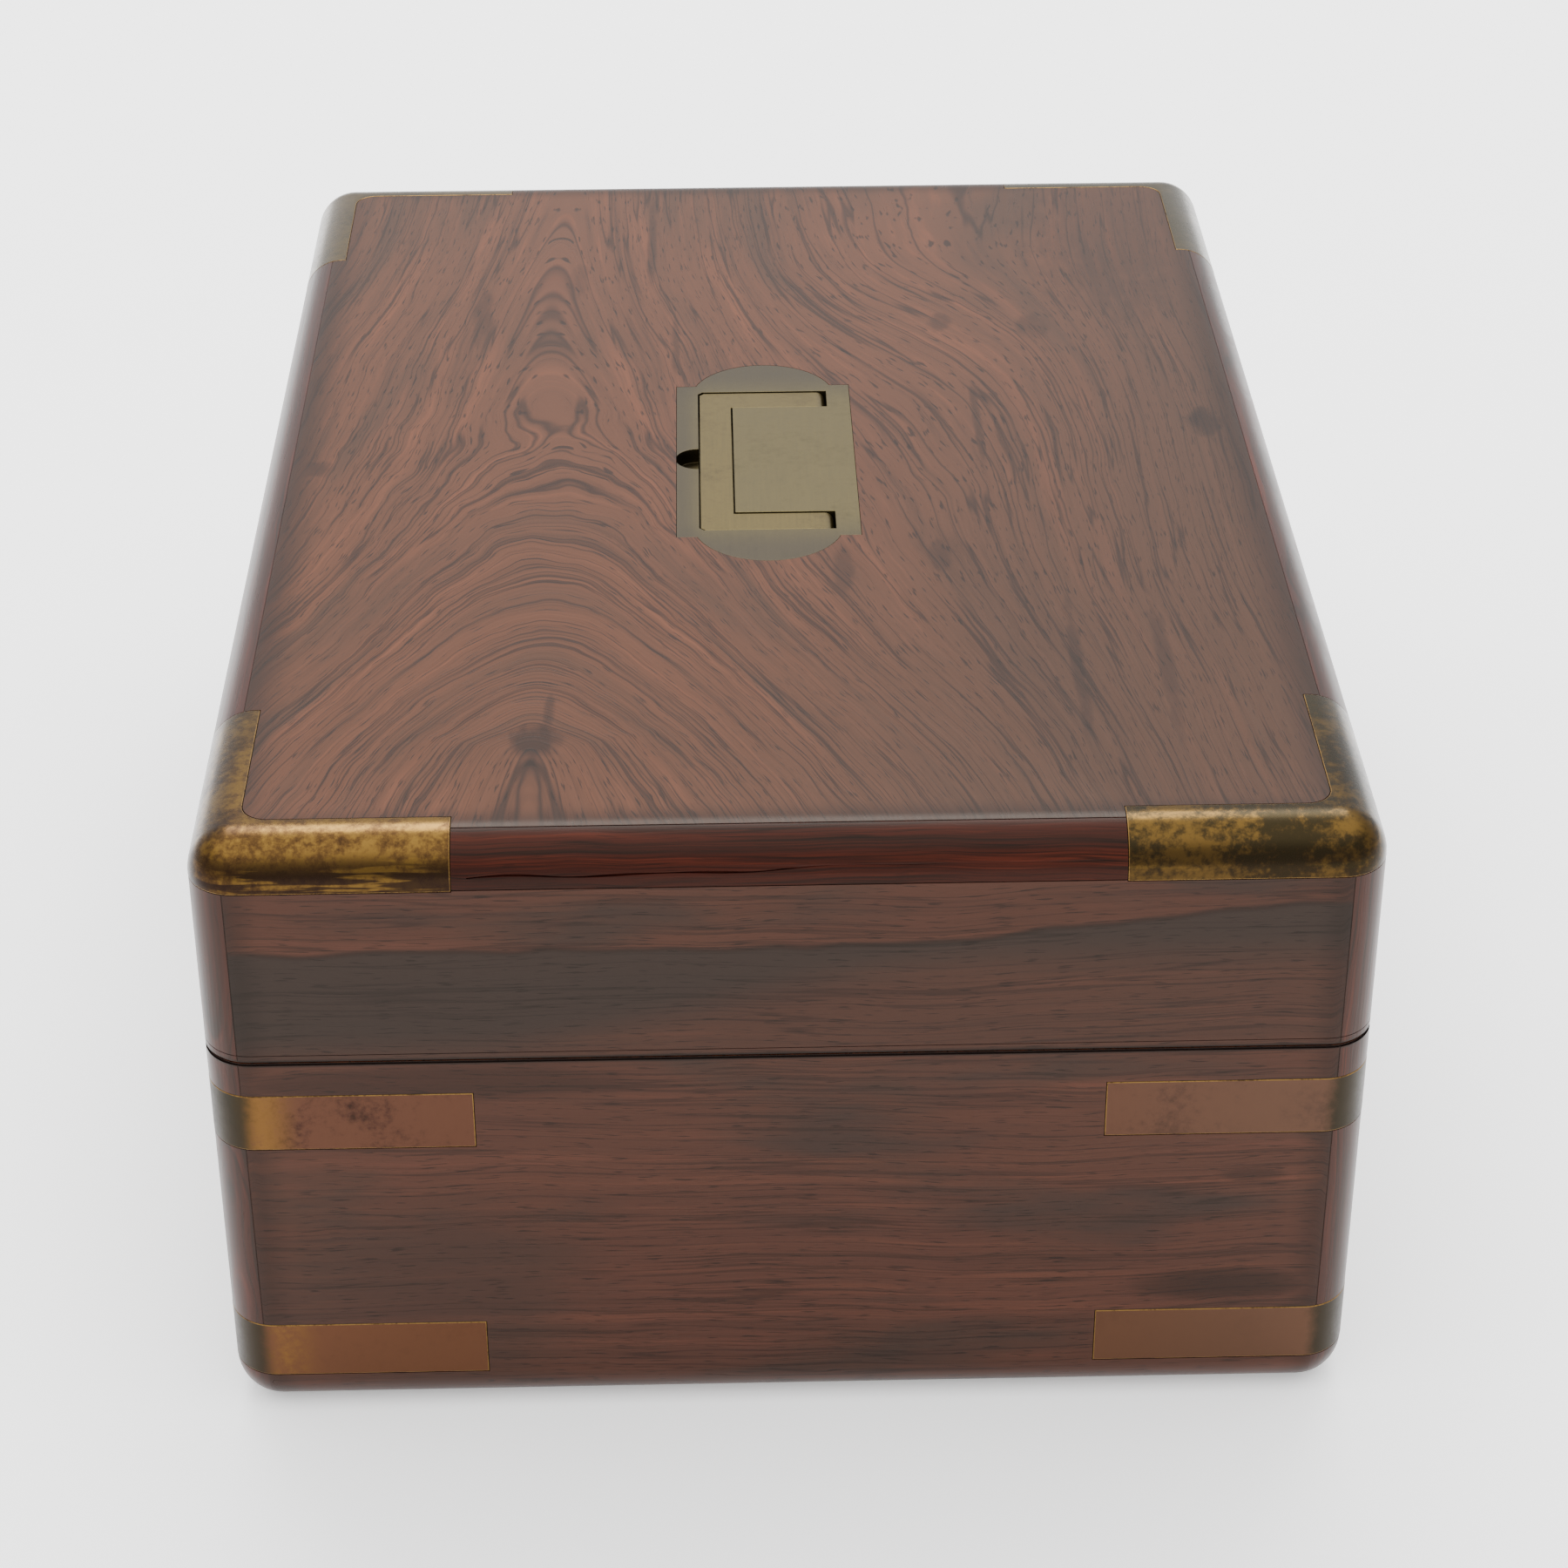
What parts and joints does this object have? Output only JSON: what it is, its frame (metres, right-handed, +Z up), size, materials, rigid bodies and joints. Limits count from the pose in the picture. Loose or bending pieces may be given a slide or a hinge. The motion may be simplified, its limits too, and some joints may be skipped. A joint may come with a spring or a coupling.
{
  "type": "marine chronometer",
  "caption": "Brass-bound rosewood travelling box with a flush lid handle; inside, a marine chronometer hangs in gimbals in a central well.",
  "frame": {"origin": "middle of the box's bottom face, on the surface it rests on", "axes": "+Z up, +X to the front with the lock, hinges on the -X side, +Y along the box's length"},
  "size_m": [0.2328, 0.3256, 0.1374],
  "materials": {
    "rosewood": "French-polished, dark reddish brown with black figure",
    "tarnished_brass": "worn and tarnished, gold at the edges",
    "old_brass": "brushed, olive grey",
    "brass": "lacquered",
    "gilt_brass": "grained and gilt",
    "steel": "grained",
    "blued_steel": "heat blued, polished",
    "silvered_brass": "matt silvered",
    "glass": "clear, flat"
  },
  "bodies": {
    "base": {"base_back_wall": "rosewood", "base_floor": "rosewood", "base_front_wall": "rosewood", "base_left_wall": "rosewood", "base_right_wall": "rosewood", "gimbal_bracket_left": "brass", "gimbal_bracket_right": "brass", "hinge_left_base_leaf": "brass", "hinge_right_base_leaf": "brass", "lock_case": "brass", "partition_left": "rosewood", "partition_right": "rosewood", "strap_lower_back_left": "tarnished_brass", "strap_lower_back_right": "tarnished_brass", "strap_lower_front_left": "tarnished_brass", "strap_lower_front_right": "tarnished_brass", "strap_upper_back_left": "tarnished_brass", "strap_upper_back_right": "tarnished_brass", "strap_upper_front_left": "tarnished_brass", "strap_upper_front_right": "tarnished_brass"},
    "lid": {"handle_plate": "old_brass", "hinge_left_lid_leaf": "brass", "hinge_right_lid_leaf": "brass", "lid_back_wall": "rosewood", "lid_front_wall": "rosewood", "lid_left_wall": "rosewood", "lid_mount_back_left": "tarnished_brass", "lid_mount_back_right": "tarnished_brass", "lid_mount_front_left": "tarnished_brass", "lid_mount_front_right": "tarnished_brass", "lid_right_wall": "rosewood", "lid_top_panel": "rosewood", "lock_link_plate": "brass"},
    "bail": {"handle_bail": "brass"},
    "lock_bolt": {"lock_bolt": "steel"},
    "key": {"winding_key": "brass"},
    "lock_arm": {"gimbal_lock_arm": "brass"},
    "ring": {"gimbal_ring": "brass"},
    "bowl": {"bowl": "brass", "bezel": "brass", "bezel_glass": "glass", "dial": "silvered_brass", "pillar_plate": "gilt_brass", "back_plate": "gilt_brass", "balance_cock": "gilt_brass", "balance_spring": "blued_steel", "fusee_chain": "steel"},
    "shutter": {"winding_shutter": "brass"},
    "fusee": {"fusee": "gilt_brass"},
    "barrel": {"mainspring_barrel": "gilt_brass"},
    "centre": {"centre_wheel": "gilt_brass", "minute_hand": "blued_steel"},
    "hour": {"hour_hand": "blued_steel"},
    "updown": {"updown_hand": "blued_steel"},
    "third": {"third_wheel": "gilt_brass"},
    "fourth": {"fourth_wheel": "gilt_brass", "seconds_hand": "blued_steel"},
    "escape": {"escape_wheel": "gilt_brass"},
    "detent": {"detent": "steel"},
    "balance": {"balance_wheel": "gilt_brass"}
  },
  "joints": [
    {"name": "box_lid_hinge", "type": "hinge", "parent": "base", "child": "lid", "pos_m": [-0.1158, 0, 0.08815], "axis": [0, -1, 0], "range_deg": [0, 100]},
    {"name": "handle_bail_lift", "type": "hinge", "parent": "lid", "child": "bail", "pos_m": [0.011, -0.0024, 0.1352], "axis": [0, 1, 0], "range_deg": [0, 95]},
    {"name": "lock_bolt_slide", "type": "slide", "parent": "base", "child": "lock_bolt", "axis": [0, 1, 0], "range_m": [0, 0.0015]},
    {"name": "key_lift", "type": "slide", "parent": "base", "child": "key", "axis": [0, 0, 1], "range_m": [0, 0.06]},
    {"name": "lock_arm_swing", "type": "hinge", "parent": "base", "child": "lock_arm", "pos_m": [0.084, 0.081, 0.084], "axis": [0, 0, 1], "range_deg": [0, 40]},
    {"name": "gimbal_ring_tilt", "type": "hinge", "parent": "base", "child": "ring", "pos_m": [0, 0, 0.074], "axis": [0, 1, 0], "range_deg": [-22, 22]},
    {"name": "gimbal_bowl_tilt", "type": "hinge", "parent": "ring", "child": "bowl", "pos_m": [0, 0, 0.074], "axis": [1, 0, 0], "range_deg": [-22, 22]},
    {"name": "shutter_swing", "type": "hinge", "parent": "bowl", "child": "shutter", "pos_m": [-0.01618, 0.00318, 0.029], "axis": [0, 0, 1], "range_deg": [0, 60]},
    {"name": "train_fourth", "type": "hinge", "parent": "bowl", "child": "fourth", "pos_m": [0.022, 0, 0.074], "axis": [0, 0, 1], "continuous": true},
    {"name": "train_centre", "type": "hinge", "parent": "bowl", "child": "centre", "pos_m": [0, 0, 0.074], "axis": [0, 0, 1], "continuous": true},
    {"name": "train_hour", "type": "hinge", "parent": "bowl", "child": "hour", "pos_m": [0, 0, 0.074], "axis": [0, 0, 1], "continuous": true},
    {"name": "train_third", "type": "hinge", "parent": "bowl", "child": "third", "pos_m": [0.0131, 0.01564, 0.074], "axis": [0, 0, 1], "continuous": true},
    {"name": "train_escape", "type": "hinge", "parent": "bowl", "child": "escape", "pos_m": [0.02875, -0.01169, 0.074], "axis": [0, 0, 1], "continuous": true},
    {"name": "train_fusee", "type": "hinge", "parent": "bowl", "child": "fusee", "pos_m": [-0.01618, 0.01618, 0.074], "axis": [0, 0, 1], "continuous": true},
    {"name": "train_barrel", "type": "hinge", "parent": "bowl", "child": "barrel", "pos_m": [-0.0241, -0.0195, 0.074], "axis": [0, 0, 1], "continuous": true},
    {"name": "train_updown", "type": "hinge", "parent": "bowl", "child": "updown", "pos_m": [-0.022, 0, 0.074], "axis": [0, 0, 1], "continuous": true},
    {"name": "train_detent", "type": "hinge", "parent": "bowl", "child": "detent", "pos_m": [0.0369, 0.005, 0.066], "axis": [0, 0, 1], "range_deg": [0, 2], "stiffness_Nm_per_rad": 0.001},
    {"name": "train_balance", "type": "hinge", "parent": "bowl", "child": "balance", "pos_m": [0.024, -0.021, 0.0565], "axis": [0, 0, 1], "range_deg": [-220, 220], "stiffness_Nm_per_rad": 0.00019}
  ],
  "couplings": [
    {"joint": "train_centre", "follows": "train_fourth", "ratio": 0.016667},
    {"joint": "train_hour", "follows": "train_fourth", "ratio": 0.0013889},
    {"joint": "train_third", "follows": "train_fourth", "ratio": -0.125},
    {"joint": "train_escape", "follows": "train_fourth", "ratio": -8},
    {"joint": "train_fusee", "follows": "train_fourth", "ratio": -0.0025926},
    {"joint": "train_barrel", "follows": "train_fourth", "ratio": -0.0021784},
    {"joint": "train_updown", "follows": "train_fourth", "ratio": -0.00024802}
  ]
}
